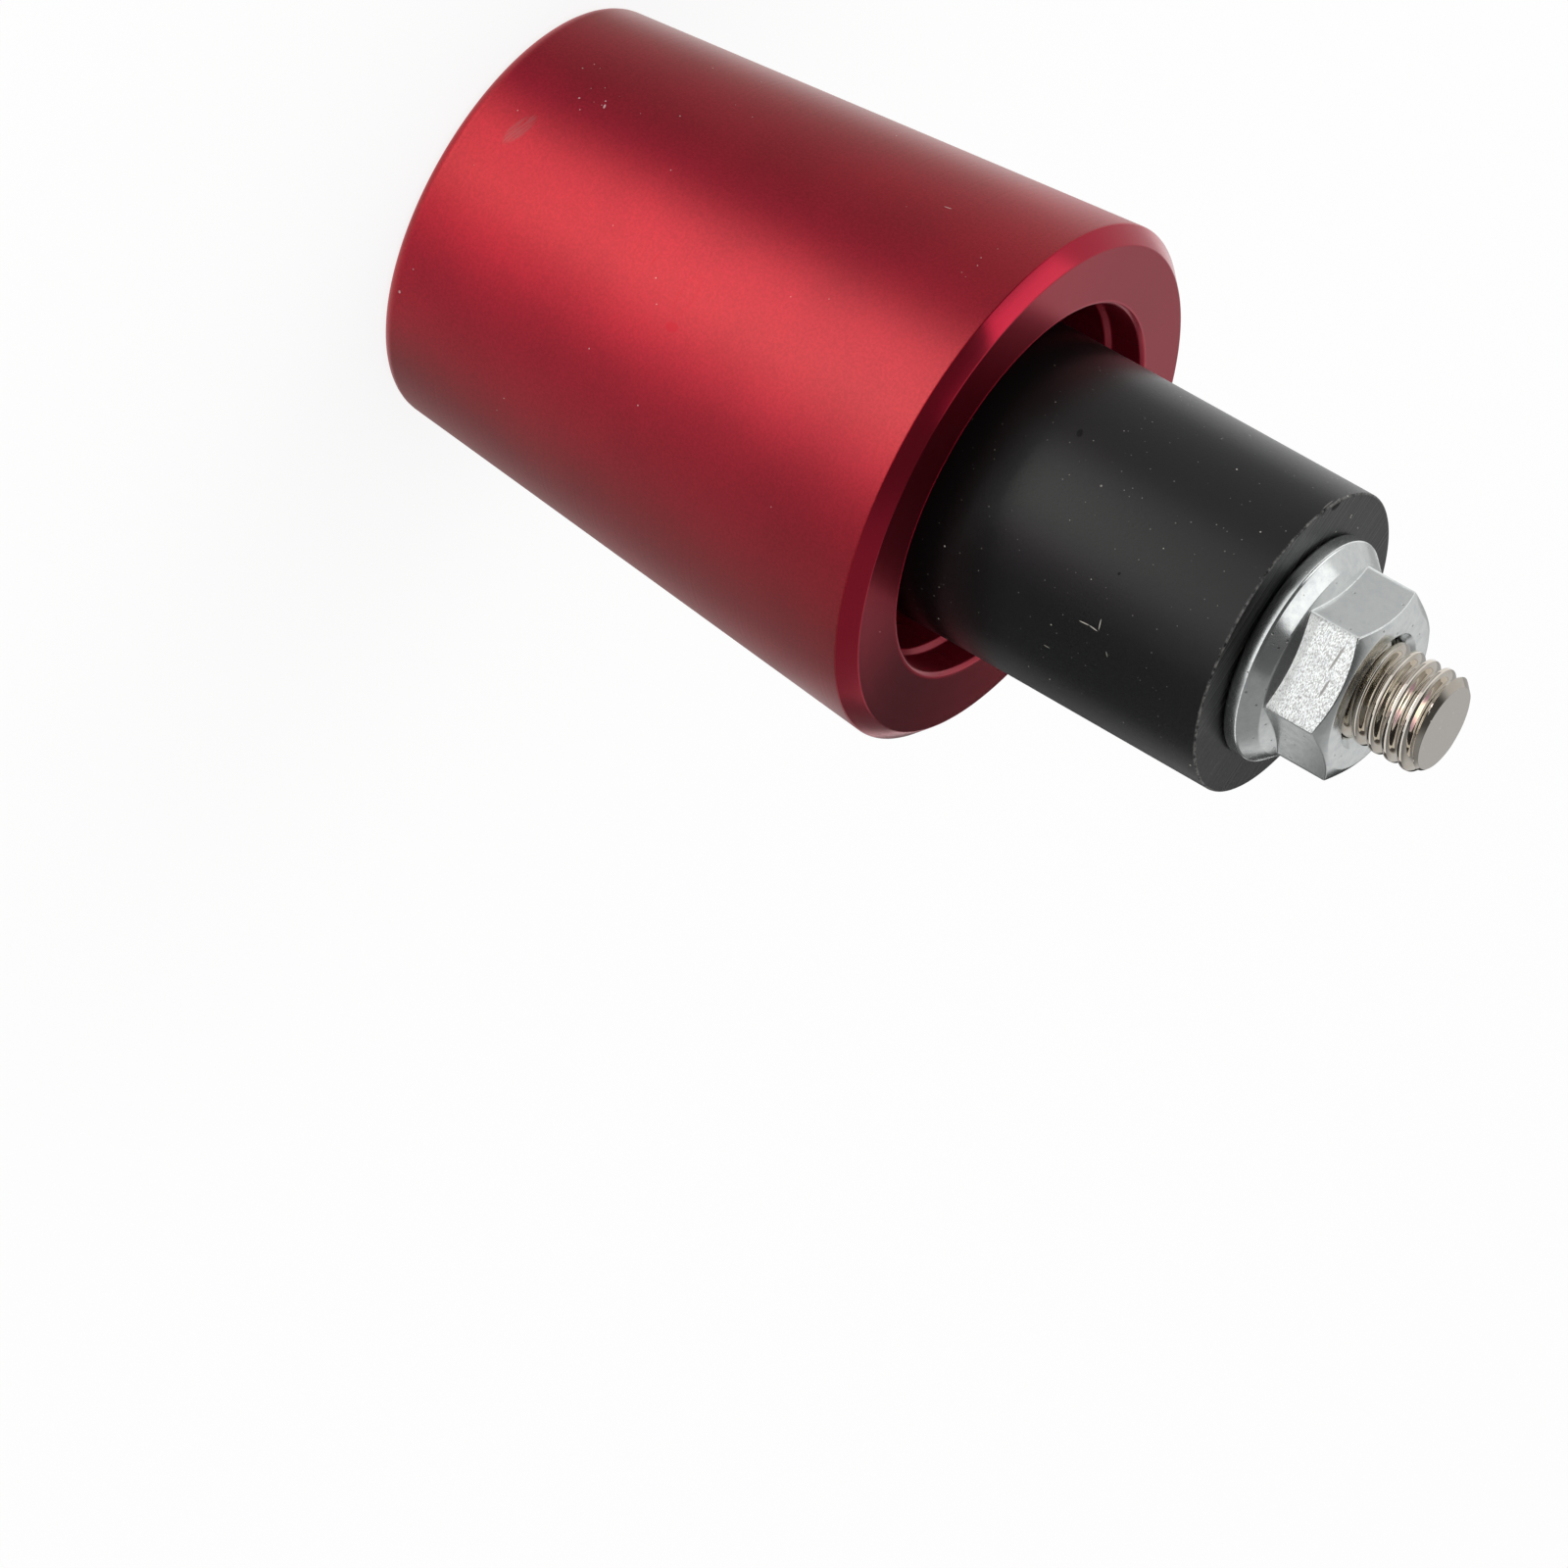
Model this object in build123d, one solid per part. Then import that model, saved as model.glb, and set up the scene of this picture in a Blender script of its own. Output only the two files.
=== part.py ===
"""Bar end weight: a turned, tapered weight held in the handlebar's end by a screw that squeezes a rubber sleeve.

Millimetres. The weight stands on its outer face at Z = 0, and +Z runs along the screw into the handlebar.
"""
from build123d import *
import math
import os

# Handlebar end that the weight fits
BAR_BORE_DIAMETER = 22.2      # bore round the bar's outside
BAR_SLOT_WIDTH = 1.9          # ring-shaped room for the bar's wall, round the sleeve
REGISTER_STEP = 0.3           # how much wider the bore is at its mouth, each side
REGISTER_DEPTH = 2.4          # depth of that wider mouth
SEAT_DEPTH = 11.7             # depth of the floor that the sleeve stands on

# Turned weight
BODY_LENGTH = 35.2
RIM_WALL = 4.6                # wall round the register at the larger end
SMALL_END_DIAMETER = 25.6     # outer end, before its edge is rounded
RIM_CHAMFER = 0.9
MOUTH_CHAMFER = 0.2
OUTER_EDGE_ROUND = 1.0
RECESS_CHAMFER = 0.7          # wide lead-in round the screw's head
SEAT_CORNER_ROUND = 0.4       # left by the turning tool

# Screw
SCREW_DIAMETER = 6.0
HEAD_SHOULDER = 2.0           # how far the head stands out past the shank
HEAD_HEIGHT = 6.0
HEAD_SETBACK = 2.6            # how far the head lies below the outer face
HEAD_EDGE_ROUND = 0.6
HEAD_CLEARANCE = 1.15         # between the head and the recess, each side
SOCKET_WIDTH = 5.0            # across the flats
SOCKET_DEPTH = 3.0
SOCKET_LEAD = 0.2             # countersink at the socket's mouth
SOCKET_FLOOR_ANGLE = 30.0     # cone left by the drill, from the flat
SHANK_CLEARANCE = 0.3         # between the shank and the holes it passes, each side
THREAD_PROUD = 4.3            # thread that stands past the nut
TIP_CHAMFER = 0.5

# Rubber sleeve
PLUG_REACH = 18.3             # how far the sleeve stands out of the weight

# Flange nut
NUT_WIDTH = 10.0              # across the flats
NUT_HEIGHT = 5.7
NUT_CHAMFER_ANGLE = 30.0
NUT_CROWN_INSET = 0.25        # from the flats to the ring on the top face
NUT_COUNTERSINK = 0.5
FLANGE_LEDGE = 1.0            # from the hexagon's corners to the flange's edge
FLANGE_RIM = 1.1              # height of the flange's edge
FLANGE_SLOPE_ANGLE = 40.0
FLANGE_EDGE_CHAMFER = 0.2
THREAD_CLEARANCE = 0.05       # between the thread's crest and the nut, each side

# Sizes that follow
register_radius = BAR_BORE_DIAMETER / 2 + REGISTER_STEP
rim_radius = register_radius + RIM_WALL
sleeve_radius = BAR_BORE_DIAMETER / 2 - BAR_SLOT_WIDTH
screw_radius = SCREW_DIAMETER / 2
head_radius = screw_radius + HEAD_SHOULDER
recess_radius = head_radius + HEAD_CLEARANCE
hole_radius = screw_radius + SHANK_CLEARANCE
nut_bore_radius = screw_radius + THREAD_CLEARANCE
corner_radius = NUT_WIDTH / 2 / math.cos(math.pi / 6)
flange_radius = corner_radius + FLANGE_LEDGE

# Heights that follow
head_seat = HEAD_SETBACK + HEAD_HEIGHT
sleeve_seat = BODY_LENGTH - SEAT_DEPTH
sleeve_end = BODY_LENGTH + PLUG_REACH
screw_tip = sleeve_end + NUT_HEIGHT + THREAD_PROUD


def turned(*corners):
    """Solid turned about Z, from the (radius, height) corners of its half section."""
    outline = Polyline(*[(radius, 0, height) for radius, height in corners], close=True)
    return revolve(make_face(outline), Axis.Z)


def drilled(radius, bottom, top):
    """Cylinder on Z between two heights."""
    return Pos(0, 0, bottom) * Cylinder(radius, top - bottom, align=(Align.CENTER, Align.CENTER, Align.MIN))


def hexagon(width, bottom, top):
    """Hexagonal bar on Z, by its width across the flats."""
    outline = RegularPolygon(width / 2, 6, major_radius=False)
    return Pos(0, 0, bottom) * extrude(outline, top - bottom)


def ring_edge(solid, radius, height):
    """The circular edge of that radius at that height."""
    circles = solid.edges().filter_by(GeomType.CIRCLE)
    return circles.sort_by(lambda edge: math.hypot(edge.radius - radius, edge.arc_center.Z - height))[0]


def end_weight():
    """Tapered weight with the bar's stepped counterbore above and the screw head's recess below."""
    taper = turned(
        (0, 0),
        (SMALL_END_DIAMETER / 2, 0),
        (rim_radius, BODY_LENGTH - RIM_CHAMFER),
        (rim_radius - RIM_CHAMFER, BODY_LENGTH),
        (0, BODY_LENGTH),
    )
    weight = fillet(ring_edge(taper, SMALL_END_DIAMETER / 2, 0), OUTER_EDGE_ROUND)
    counterbore = turned(
        (0, sleeve_seat),
        (BAR_BORE_DIAMETER / 2, sleeve_seat),
        (BAR_BORE_DIAMETER / 2, BODY_LENGTH - REGISTER_DEPTH),
        (register_radius, BODY_LENGTH - REGISTER_DEPTH + REGISTER_STEP),
        (register_radius, BODY_LENGTH - MOUTH_CHAMFER),
        (register_radius + MOUTH_CHAMFER, BODY_LENGTH),
        (0, BODY_LENGTH),
    )
    weight -= fillet(ring_edge(counterbore, BAR_BORE_DIAMETER / 2, sleeve_seat), SEAT_CORNER_ROUND)
    weight -= drilled(recess_radius, 0, head_seat)
    weight -= drilled(hole_radius, head_seat, sleeve_seat)
    return chamfer(ring_edge(weight, recess_radius, 0), RECESS_CHAMFER)


def clamp_screw():
    """Socket head cap screw, head down. The shank has the thread's outer diameter."""
    screw = drilled(head_radius, HEAD_SETBACK, head_seat)
    screw = fillet(ring_edge(screw, head_radius, HEAD_SETBACK), HEAD_EDGE_ROUND)
    screw += drilled(screw_radius, head_seat, screw_tip)
    screw = chamfer(ring_edge(screw, screw_radius, screw_tip), TIP_CHAMFER)
    socket_corner = SOCKET_WIDTH / 2 / math.cos(math.pi / 6)
    socket_floor = HEAD_SETBACK + SOCKET_DEPTH
    drill_point = SOCKET_WIDTH / 2 * math.tan(math.radians(SOCKET_FLOOR_ANGLE))
    screw -= hexagon(SOCKET_WIDTH, HEAD_SETBACK, socket_floor)
    screw -= turned((0, socket_floor), (SOCKET_WIDTH / 2, socket_floor), (0, socket_floor + drill_point))
    screw -= turned(
        (0, HEAD_SETBACK),
        (socket_corner + SOCKET_LEAD, HEAD_SETBACK),
        (socket_corner - SOCKET_LEAD, HEAD_SETBACK + SOCKET_LEAD * 2),
        (0, HEAD_SETBACK + SOCKET_LEAD * 2),
    )
    return screw


def expander_sleeve():
    """Rubber tube from the counterbore's floor to the nut, cut square at both ends."""
    return drilled(sleeve_radius, sleeve_seat, sleeve_end) - drilled(hole_radius, sleeve_seat, sleeve_end)


def flange_nut():
    """Hexagon nut with a sloped flange, its crown and its bore chamfered, standing on the sleeve's end."""
    crown_radius = NUT_WIDTH / 2 - NUT_CROWN_INSET
    crown_drop = (flange_radius - crown_radius) * math.tan(math.radians(NUT_CHAMFER_ANGLE))
    crown = turned(
        (0, 0),
        (flange_radius, 0),
        (flange_radius, NUT_HEIGHT - crown_drop),
        (crown_radius, NUT_HEIGHT),
        (0, NUT_HEIGHT),
    )
    slope_rise = (flange_radius - nut_bore_radius) * math.tan(math.radians(FLANGE_SLOPE_ANGLE))
    flange = turned(
        (0, 0),
        (flange_radius - FLANGE_EDGE_CHAMFER, 0),
        (flange_radius, FLANGE_EDGE_CHAMFER),
        (flange_radius, FLANGE_RIM),
        (nut_bore_radius, FLANGE_RIM + slope_rise),
        (0, FLANGE_RIM + slope_rise),
    )
    nut = hexagon(NUT_WIDTH, 0, NUT_HEIGHT) & crown
    nut += flange
    nut -= drilled(nut_bore_radius, 0, NUT_HEIGHT)
    nut = chamfer(ring_edge(nut, nut_bore_radius, NUT_HEIGHT), NUT_COUNTERSINK)
    return Pos(0, 0, sleeve_end) * nut


os.makedirs("parts", exist_ok=True)
export_step(end_weight(), "parts/end_weight.step")
export_step(clamp_screw(), "parts/clamp_screw.step")
export_step(expander_sleeve(), "parts/expander_sleeve.step")
export_step(flange_nut(), "parts/flange_nut.step")
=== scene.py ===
"""Looks of a bar end weight: red anodised turning, rubber expander sleeve, clamp screw and flange nut.

Metres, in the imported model's own frame: the weight stands on its outer face and +Z runs along the screw.
"""
import functools
import math
from collections import namedtuple

import bmesh
import bpy
from bpy.props import FloatProperty, FloatVectorProperty, IntProperty, PointerProperty
from mathutils import Matrix, Quaternion, Vector


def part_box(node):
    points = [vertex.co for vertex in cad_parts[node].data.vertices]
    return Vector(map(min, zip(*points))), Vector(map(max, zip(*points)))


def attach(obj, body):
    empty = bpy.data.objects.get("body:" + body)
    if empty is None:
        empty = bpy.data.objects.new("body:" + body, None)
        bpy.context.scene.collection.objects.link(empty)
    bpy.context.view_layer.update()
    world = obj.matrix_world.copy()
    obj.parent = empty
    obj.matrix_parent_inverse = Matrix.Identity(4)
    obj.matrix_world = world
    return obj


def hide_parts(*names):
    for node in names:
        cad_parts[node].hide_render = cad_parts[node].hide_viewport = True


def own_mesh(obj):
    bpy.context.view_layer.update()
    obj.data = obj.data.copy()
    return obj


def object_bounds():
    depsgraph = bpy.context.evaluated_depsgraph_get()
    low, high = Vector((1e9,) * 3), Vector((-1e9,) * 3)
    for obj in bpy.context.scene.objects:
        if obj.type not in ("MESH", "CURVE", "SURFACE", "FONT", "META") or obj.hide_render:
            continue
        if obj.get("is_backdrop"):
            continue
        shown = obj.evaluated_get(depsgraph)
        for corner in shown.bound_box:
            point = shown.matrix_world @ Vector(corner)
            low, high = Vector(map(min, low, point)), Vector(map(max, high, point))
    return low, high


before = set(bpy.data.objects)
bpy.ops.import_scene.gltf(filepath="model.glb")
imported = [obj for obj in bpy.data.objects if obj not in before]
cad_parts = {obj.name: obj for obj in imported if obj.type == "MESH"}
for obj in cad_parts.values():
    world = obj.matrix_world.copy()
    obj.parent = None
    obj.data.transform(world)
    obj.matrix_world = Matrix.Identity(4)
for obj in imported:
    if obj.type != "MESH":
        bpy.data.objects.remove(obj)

bl_info = {
    "name": "Bar end weight",
    "version": (1, 0, 0),
    "blender": (4, 5, 0),
    "location": "3D View > Sidebar > Bar weight",
    "description": "Models and finishes the four pieces of a bar end weight round their packed solids",
    "category": "Object",
}

MM = 0.001
MICRON = 0.000001
NEAR = 0.1 * MICRON
CAD_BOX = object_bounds()

WEIGHT_LOW, WEIGHT_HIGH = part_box("end_weight")
SLEEVE_LOW, SLEEVE_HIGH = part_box("expander_sleeve")
SCREW_LOW, SCREW_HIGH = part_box("clamp_screw")
NUT_LOW, NUT_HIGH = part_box("flange_nut")
HEX_SIDES = 6
HEX_TURN = math.tau / HEX_SIDES
CREASE = math.radians(38)
SHOWN_FOLD = math.radians(12)
RING_NEAR = 0.004 * MM
MERGE = 0.001 * MM
SPARE_TURNS = 3
DEEPEST_CUT = 0.8
WHITE = (1, 1, 1, 1)
SENSOR_WIDTH = 36.0
CLIP_END = 20.0

Mark = namedtuple("Mark", "angle height long wide turn")
Crack = namedtuple("Crack", "x drop long turn")
Specks = namedtuple("Specks", "spacing size kept strength")
SideStop = namedtuple("SideStop", "at reach foot far green blue")
FloorCard = namedtuple("FloorCard", "name start stop inner outer level")
HangingCard = namedtuple("HangingCard", "name x y z long wide turn level")
Screen = namedtuple("Screen", "name low high left right level")
Softbox = namedtuple("Softbox", "name azimuth elevation distance width height radiance")

# Marks that the photo shows on the weight: degrees from +X and from level, and millimetres
MARK_REACH = 1.0
MARK_EDGE = (1.1, 0.7)
RUBBED = Mark(-117, 3.6, 2.5, 1.0, -17)
STAINS = (
    Mark(-94, 18.4, 0.6, 0.9, 10),
    Mark(-105, 15.4, 0.9, 0.08, -4),
)
TIDE_RING = Mark(-101.5, 18.3, 2.7, 1.1, -4)
TIDE_INSIDE = Mark(-101.5, 18.3, 2.5, 0.94, -4)
FLAKES = (
    Mark(-132.5, 6.9, 0.34, 0.14, 20),
    Mark(-134, 6.7, 0.12, 0.1, 0),
    Mark(-131.5, 5.3, 0.12, 0.12, 0),
    Mark(-65.5, 1.1, 0.2, 0.16, 0),
    Mark(-148.5, 27.4, 0.06, 0.5, 10),
)
DUSTY = (
    Mark(-138, 31.7, 3.4, 2.2, 0),
    Mark(-147, 33.1, 2.6, 1.6, 0),
    Mark(-132.5, 6.2, 3.2, 3.0, 0),
    Mark(-141, 4.5, 2.6, 1.6, 0),
)

# Marks that the photo shows on the sleeve
LINT = (
    Mark(-70.5, 45.4, 0.7, 0.07, 95),
    Mark(-70.5, 46.0, 0.6, 0.07, 83),
    Mark(-73, 46.3, 0.7, 0.06, 6),
)
FIBRES = (
    Mark(-64, 47.2, 0.36, 0.07, 30),
    Mark(-53.5, 43.5, 0.44, 0.07, 90),
    Mark(-115, 42.7, 0.14, 0.14, 0),
)
DUSTY_ARC = (
    Mark(-138, 41.7, 1.1, 0.2, 8),
    Mark(-144.5, 41.9, 1.2, 0.24, 8),
    Mark(-149, 42.3, 0.8, 0.5, 8),
)
NICK_SHADE = (
    Mark(-128, 39.8, 0.6, 0.36, 15),
    Mark(-92, 46.2, 0.2, 0.16, 0),
    Mark(-152, 53.4, 1.3, 0.16, 8),
    Mark(-158, 53.5, 1.3, 0.16, -4),
)
# Painted highlight: a lighter streak along the nick's raised flap, in the scuffed colour
NICK_GLINT = (
    Mark(-154.5, 53.3, 1.3, 0.1, 4),
    Mark(-160, 53.4, 0.6, 0.08, 12),
)
FACE_FLECKS = ((-7.7, -0.5), (-7.1, 1.2), (-6.8, -1.6))
FLECK_SIZE = 0.11

# Cracks on the nut's rough flat: millimetres across it, down from the nut's top and along, and degrees
CRACKS = (
    Crack(-1.36, 1.2, 1.9, 8),
    Crack(0.4, 1.1, 1.3, 7),
)
CRACK_WIDTH = 0.17

# Specks: millimetres apart and across, the share of places that keeps one, and a strength
WEIGHT_DUST = Specks(1.3, 0.05, 0.5, 1.0)
PATCH_DUST = Specks(0.36, 0.048, 0.5, 1.0)
SLEEVE_DUST = (
    Specks(1.1, 0.06, 0.45, 1.0),
    Specks(0.7, 0.045, 0.45, 0.45),
    Specks(0.45, 0.05, 0.4, 0.22),
)
ARC_DUST = Specks(0.24, 0.05, 0.6, 0.6)
TIP_PITS = Specks(0.45, 0.07, 0.4, 0.5)
NUT_PITS = Specks(0.5, 0.09, 0.35, 0.7)
SURELY_KEPT = 0.9
SPECK_EDGE = (1.2, 0.6)

# Strengths of the marks, from 0 to 1, and the depth of the nick in heights of the grain
TIDE_STRENGTH = 0.8
DUST_STRENGTH = 0.7
NICK_GLINT_STRENGTH = 0.8
FIBRE_STRENGTH = 0.45
CRACK_STRENGTH = 0.95
NICK_ROUGHNESS = 0.5
NICK_DEPTH = 2

# Noise values between which a pattern fades in, and its strength
STREAK_FADE = (0.36, 0.58, 0.85)
DYE_FADE = (0.35, 0.7, 0.35)
GRAIN_FADE = (0.3, 0.7, 0.65)
SCUFF_FADE = (0.36, 0.66)
TEAR_FADE = (0.45, 0.75, 0.2)
PLATE_FADE = (0.3, 0.8)
SCALE_FADE = (0.45, 0.6, 0.72)

# Distances past a limit between which a zone fades in, and two that count in edge breaks
FORM_FADE = (-0.02 * MM, 0.02 * MM)
BORE_FADE = (0.4 * MM, 0.3 * MM)
TIP_FADE = (-0.04 * MM, -0.01 * MM)
FLAT_FADE = (0.05 * MM, 0.03 * MM)
CORNER_FADE = (0.08 * MM, 0.03 * MM)
FOOT_FADE = (2.9 * MM, 2.6 * MM, 0.4)
CUT_FADE = (0.8, 1.2)
EDGE_FADE = (1.3, 0.5)

# How far each finish's roughness spreads about its middle, and what the zones change
LINE_SPREAD = 0.08
RUBBER_SPREAD = 0.12
NICKEL_SPREAD = 0.04
ZINC_SPREAD = 0.12
TIP_ROUGHNESS = 0.2
BORE_OXIDE = 0.45
FORM_OXIDE = 0.05

# Shapes of the patterns
QUARTER_TURN = 0.25
LINE_LEAN = 0.7
DYE_CLOUD = 7 * MM
STREAK_DRAW = (0.8, 5.0, 0.0)
SCUFF_SIZE = 0.35 * MM
NICKEL_CLOUD = 1.1 * MM
NICKEL_RIPPLE = 2 * MICRON
ZINC_CLOUD = 0.55 * MM
ZINC_RIPPLE = 0.5
SCALE_DRAW = (0.4, 1.0, 1.0)

# Stops of the graded card that the weight's side shows: degrees from the camera, millimetres outward,
# levels at the weight's foot and at the far edge, where 1 is white, and the tint's green and blue
FOOT_RADIUS = 13.0
SIDE_STOPS = (
    SideStop(-88, 62, 1.00, 1.00, 1.05, 1.00),
    SideStop(-75, 62, 0.95, 0.95, 1.35, 1.30),
    SideStop(-62, 62, 0.52, 0.52, 1.30, 1.20),
    SideStop(-45, 62, 0.50, 0.50, 1.05, 1.12),
    SideStop(-36, 62, 0.58, 0.58, 0.80, 1.00),
    SideStop(-28, 70, 0.80, 0.80, 0.64, 0.96),
    SideStop(-22, 70, 1.20, 1.40, 0.80, 0.95),
    SideStop(-17, 74, 1.65, 3.20, 0.92, 0.94),
    SideStop(-12, 76, 2.10, 4.60, 0.95, 0.94),
    SideStop(0, 76, 2.15, 4.75, 1.12, 1.00),
    SideStop(5, 74, 2.00, 4.10, 1.02, 0.95),
    SideStop(10, 72, 1.85, 3.40, 0.82, 0.88),
    SideStop(15, 70, 1.65, 2.60, 0.70, 0.83),
    SideStop(21, 68, 1.30, 1.50, 0.72, 0.90),
    SideStop(27, 66, 1.00, 1.00, 0.76, 0.98),
    SideStop(36, 60, 0.88, 0.88, 0.85, 1.00),
    SideStop(45, 60, 0.80, 0.80, 1.00, 1.05),
    SideStop(52, 62, 0.62, 0.62, 1.20, 1.15),
    SideStop(60, 66, 0.44, 0.44, 1.35, 1.30),
    SideStop(75, 66, 0.42, 0.42, 1.10, 1.05),
    SideStop(89, 66, 0.42, 0.42, 1.00, 1.00),
)
GLOW = "glow"

# Cards further out, which the sleeve and the nut show: azimuths in degrees, radii in millimetres
FLOOR_CARDS = (
    FloorCard("dark_card", 14, 110, 78, 136, 0.04),
    FloorCard("dark_outer_card", 38, 110, 136, 200, 0.05),
    FloorCard("front_card", -14, 24, 137, 182, 1.8),
    FloorCard("shade_card", 110, 170, 83, 135, 0.18),
    FloorCard("pale_card", 110, 170, 135, 220, 0.5),
    FloorCard("under_card", 148, 178, 83, 230, 0.08),
    FloorCard("soft_card", -128, -54, 80, 135, 0.62),
    FloorCard("outer_card", -128, -54, 135, 220, 0.45),
)
CARD_SIDES = 720
CARD_LIFT = 0.4 * MM
CARD_STEP = 0.02 * MM
SIDE_WALL_FADE = (-0.05, 0.45)
BACK_WALL_FADE = (0.1, 0.6)

# Level cards that hang beside the rim and over the nut: millimetres, a turn in degrees and a level
HANGING_CARDS = (
    HangingCard("rim_card", -38, 1, 65, 38, 24, 122, 1.4),
    HangingCard("top_card", 4, -15, 75, 13, 9, 0, 0.1),
    HangingCard("slope_card", -17.8, -4.2, 75, 30, 10, 134, 1.15),
)

# Screens behind the weight: millimetres up and across, seen from the camera
SCREEN_DISTANCE = 60
SCREENS = (
    Screen("dark_screen", 44, 70, -3.5, 30, 0.04),
    Screen("grey_screen", 44, 72, -40, -3.5, 0.42),
    Screen("side_screen", 31, 63, 31.5, 85, 0.12),
)

# Lamps: degrees, metres and a radiance where 1 is white
SOFTBOXES = (
    Softbox("front_softbox", -20, 14, 0.30, 0.20, 0.32, 0.4),
    Softbox("side_softbox", -102, 49, 0.45, 0.24, 0.24, 1.25),
)


def length(name, description, default):
    """A size in metres that the user may change."""
    return FloatProperty(
        name=name, description=description, default=default, min=0.0, unit="LENGTH", precision=5,
    )


def angle(name, description, degrees):
    """An angle that the user may change."""
    return FloatProperty(name=name, description=description, default=math.radians(degrees), subtype="ANGLE")


def colour(name, description, default):
    """A colour, in linear light, that the user may change."""
    return FloatVectorProperty(
        name=name, description=description, default=default, size=3, min=0.0, max=1.0, subtype="COLOR",
    )


def share(name, description, default):
    """A share from nothing to all."""
    return FloatProperty(
        name=name, description=description, default=default, min=0.0, max=1.0, subtype="FACTOR",
    )


def offset(name, description, default):
    """A distance in metres to either side."""
    return FloatProperty(name=name, description=description, default=default, unit="LENGTH", precision=5)


# Settings


class WeightSettings(bpy.types.PropertyGroup):
    """Sizes and finish of the turned weight."""

    sides: IntProperty(name="Sides", description="Faces round the turning", default=240, min=24)
    rim_radius: length("Rim radius", "Radius of the larger end", WEIGHT_HIGH.x)
    body_length: length("Length", "Length along the screw", WEIGHT_HIGH.z)
    small_radius: length("Outer end radius", "Smaller end, before its edge is rounded", 12.8 * MM)
    rim_chamfer: length("Rim chamfer", "Chamfer round the larger end", 0.9 * MM)
    outer_round: length("Outer edge round", "Radius on the smaller end's edge", 1.0 * MM)
    register_radius: length("Register radius", "Wider mouth of the bore for the handlebar", 11.4 * MM)
    register_depth: length("Register depth", "Depth of the wider mouth", 2.4 * MM)
    mouth_chamfer: length("Mouth chamfer", "Chamfer at the bore's mouth", 0.2 * MM)
    bore_radius: length("Bore radius", "Bore round the handlebar", 11.1 * MM)
    seat_round: length("Seat corner", "Round left in the bore's corner by the turning tool", 0.4 * MM)
    hole_radius: length("Hole radius", "Hole that the screw passes", 3.3 * MM)
    recess_radius: length("Recess radius", "Recess round the screw's head", 6.15 * MM)
    recess_chamfer: length("Recess chamfer", "Lead-in of the recess", 0.7 * MM)
    head_seat: length("Head seat", "Height of the face that the screw's head bears on", 8.6 * MM)
    edge_break: length("Edge break", "Small round on every turned edge", 0.07 * MM)
    line_pitch: length("Turning pitch", "Distance between the turning lines", 0.18 * MM)
    line_height: length("Turning height", "Height of the turning lines", 1.6 * MICRON)
    grain: length("Grain", "Size of the etched grain", 0.15 * MM)
    grain_height: length("Grain height", "Height of the etched grain", 1.4 * MICRON)
    dye: colour("Dye", "Colour of the anodised layer", (0.50, 0.0152, 0.0285))
    dye_deep: colour("Deep dye", "Colour where the layer took more dye", (0.37, 0.0092, 0.0195))
    form_dye: colour("Form dye", "Colour of the chamfer, the face and the bore", (0.49, 0.0065, 0.035))
    stain: colour("Stain", "Colour of the spots that took most dye", (0.47, 0.003, 0.016))
    worn: colour("Worn", "Colour where the layer is rubbed", (0.33, 0.065, 0.067))
    dust: colour("Dust", "Colour of the dust on it", (0.62, 0.52, 0.48))
    roughness: share("Roughness", "Roughness of the anodised layer", 0.5)
    brushing: share("Brushing", "How much the turning lines stretch the shine along the weight", 0.85)
    form_roughness: share("Form roughness", "Roughness of the chamfer, the face and the bore", 0.24)
    gloss: share("Gloss", "Weight of the clear sealed surface", 0.36)
    gloss_roughness: share("Gloss roughness", "Roughness of the clear sealed surface", 0.26)


class SleeveSettings(bpy.types.PropertyGroup):
    """Sizes and finish of the rubber sleeve."""

    sides: IntProperty(name="Sides", description="Faces round the sleeve", default=192, min=24)
    radius: length("Radius", "Outside of the sleeve", SLEEVE_HIGH.x)
    seat: length("Seat", "Height of its lower end", SLEEVE_LOW.z)
    end: length("End", "Height of its upper end", SLEEVE_HIGH.z)
    hole_radius: length("Hole radius", "Hole that the screw passes", 3.3 * MM)
    edge_break: length("Edge break", "Small round on the cut ends", 0.12 * MM)
    grain: length("Grain", "Size of the moulded grain", 0.16 * MM)
    grain_height: length("Grain height", "Height of the moulded grain", 6 * MICRON)
    saw_pitch: length("Saw pitch", "Distance between the saw's lines on the ends", 0.22 * MM)
    saw_height: length("Saw height", "Height of the saw's lines", 28 * MICRON)
    saw_turn: angle("Saw turn", "Direction across the saw's lines, from +X", 71)
    rubber: colour("Rubber", "Colour of the rubber", (0.0035, 0.0035, 0.0038))
    dust: colour("Dust", "Colour of the dust and lint on it", (0.42, 0.40, 0.35))
    # Also the colour of the painted highlight along the end's outer rim and beside the nick
    scuffed_and_glint: colour("Scuffed", "Colour of its worn edge", (0.13, 0.127, 0.122))
    roughness: share("Roughness", "Roughness of the moulded side", 0.33)
    shine: share("Shine", "Strength of the rubber's reflections", 0.39)
    squeezed: share("Squeezed", "Share of its length left when the nut is drawn right down", 26 / 30)


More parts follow.
